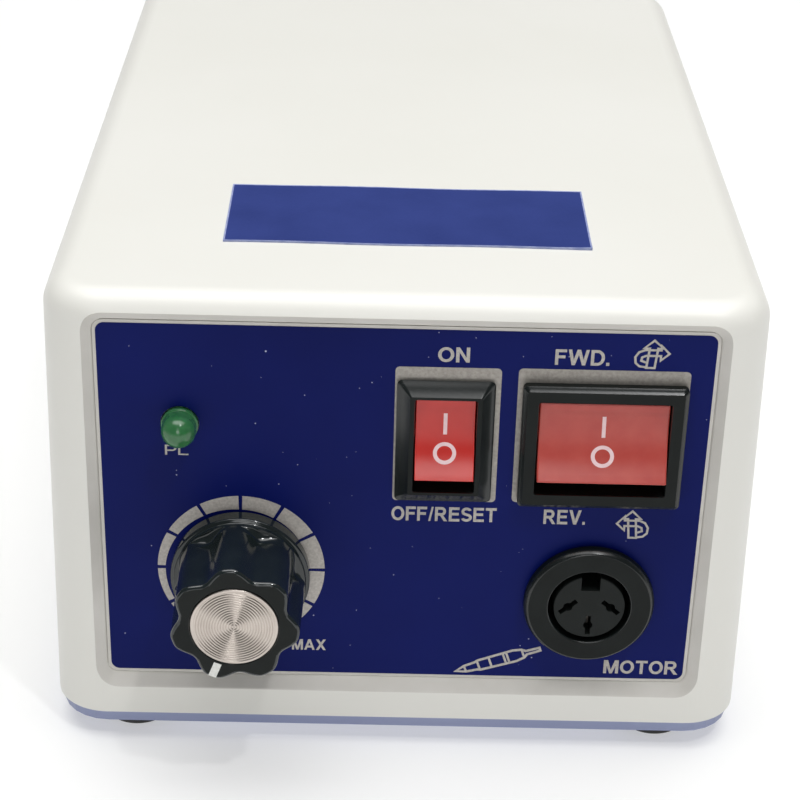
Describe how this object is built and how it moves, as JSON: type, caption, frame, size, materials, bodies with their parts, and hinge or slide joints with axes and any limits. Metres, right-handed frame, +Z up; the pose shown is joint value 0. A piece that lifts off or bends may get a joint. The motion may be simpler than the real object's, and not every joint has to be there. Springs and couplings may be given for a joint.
{
  "type": "dental lab micromotor control box",
  "caption": "White desktop control box of a dental lab micromotor, with speed knob, power and direction rockers, lamp and handpiece socket.",
  "frame": {"origin": "on the table under the centre of the overall box, which takes in the speed knob in front and the cord gland behind", "axes": "+Z up, +X to the right as seen from the front, the front panel faces -Y"},
  "size_m": [0.113, 0.1946, 0.081],
  "materials": {
    "white_shell": "injection-moulded ABS, satin, faint grain",
    "base_plastic": "moulded ABS in pale grey blue",
    "rubber_foot": "moulded rubber",
    "zinc_steel": "zinc plated",
    "navy_print": "screen-printed overlay, navy with silver border and marks",
    "blue_sticker": "printed vinyl, bare of any name",
    "black_plastic": "moulded nylon, semi-gloss",
    "black_gloss": "moulded phenolic, glossy",
    "dark_phenolic": "moulded phenolic",
    "red_rocker": "moulded red plastic, semi-gloss",
    "brass_blade": "tinned brass",
    "spun_aluminium": "spun in fine rings",
    "green_lamp": "tinted diffused epoxy",
    "fuse_glass": "clear glass tube",
    "core_iron": "varnished laminations",
    "winding": "copper winding under yellow tape",
    "board_green": "solder-masked glass laminate",
    "capacitor_sleeve": "shrink sleeve",
    "yellow_lead": "PVC insulation"
  },
  "bodies": {
    "control_box": {"top_cover": "white_shell", "base_tray": "base_plastic", "foot_1": "rubber_foot", "foot_2": "rubber_foot", "foot_3": "rubber_foot", "foot_4": "rubber_foot", "case_screw_1": "zinc_steel", "case_screw_2": "zinc_steel", "case_screw_3": "zinc_steel", "case_screw_4": "zinc_steel", "strap_screw_1": "zinc_steel", "strap_screw_2": "zinc_steel", "front_label": "navy_print", "top_label": "blue_sticker", "power_switch_housing": "black_plastic", "direction_switch_housing": "black_plastic", "power_terminal_1": "brass_blade", "power_terminal_2": "brass_blade", "direction_terminal_1": "brass_blade", "direction_terminal_2": "brass_blade", "direction_terminal_3": "brass_blade", "direction_terminal_4": "brass_blade", "direction_terminal_5": "brass_blade", "direction_terminal_6": "brass_blade", "socket_contact_1": "brass_blade", "socket_contact_2": "brass_blade", "socket_contact_3": "brass_blade", "potentiometer_body": "zinc_steel", "potentiometer_nut": "zinc_steel", "power_lamp": "green_lamp", "motor_socket_shell": "black_plastic", "motor_socket_insert": "dark_phenolic", "motor_socket_nut": "zinc_steel", "cord_gland": "black_plastic", "gland_nut": "black_plastic", "fuse_holder": "black_plastic", "fuse_holder_nut": "black_plastic", "mode_switch_body": "dark_phenolic", "mode_switch_nut": "zinc_steel", "foot_pedal_jack": "black_plastic", "jack_nut": "zinc_steel", "transformer_core": "core_iron", "transformer_winding": "winding", "transformer_strap": "zinc_steel", "control_board": "board_green", "filter_capacitor": "capacitor_sleeve", "bridge_rectifier": "dark_phenolic", "heat_sink": "spun_aluminium", "power_transistor": "dark_phenolic", "mains_lead": "black_plastic", "primary_lead": "red_rocker", "motor_lead": "yellow_lead"},
    "speed_knob_body": {"speed_knob": "black_gloss", "knob_cap": "spun_aluminium", "potentiometer_shaft": "zinc_steel"},
    "power_rocker_body": {"power_rocker": "red_rocker"},
    "direction_rocker_body": {"direction_rocker": "red_rocker"},
    "mode_lever_body": {"mode_lever": "zinc_steel"},
    "fuse_body": {"fuse": "fuse_glass"},
    "fuse_cap_body": {"fuse_cap": "black_plastic"}
  },
  "joints": [
    {"name": "speed_knob_turn", "type": "hinge", "parent": "control_box", "child": "speed_knob_body", "pos_m": [-0.0253, -0.09, 0.0329], "axis": [0, 1, 0], "range_deg": [0, 300]},
    {"name": "power_rocker_tilt", "type": "hinge", "parent": "control_box", "child": "power_rocker_body", "pos_m": [0.0062, -0.07695, 0.0568], "axis": [1, 0, 0], "range_deg": [0, 25]},
    {"name": "direction_rocker_tilt", "type": "hinge", "parent": "control_box", "child": "direction_rocker_body", "pos_m": [0.0304, -0.07695, 0.0568], "axis": [1, 0, 0], "range_deg": [0, 25]},
    {"name": "mode_lever_flip", "type": "hinge", "parent": "control_box", "child": "mode_lever_body", "pos_m": [0.01356, 0.08825, 0.024], "axis": [1, 0, 0], "range_deg": [-24, 0]},
    {"name": "fuse_slide", "type": "slide", "parent": "control_box", "child": "fuse_body", "axis": [0, 1, 0], "range_m": [0, 0.03]},
    {"name": "fuse_cap_turn", "type": "hinge", "parent": "fuse_body", "child": "fuse_cap_body", "pos_m": [-0.01356, 0.08775, 0.024], "axis": [0, 1, 0], "range_deg": [0, 90]}
  ]
}
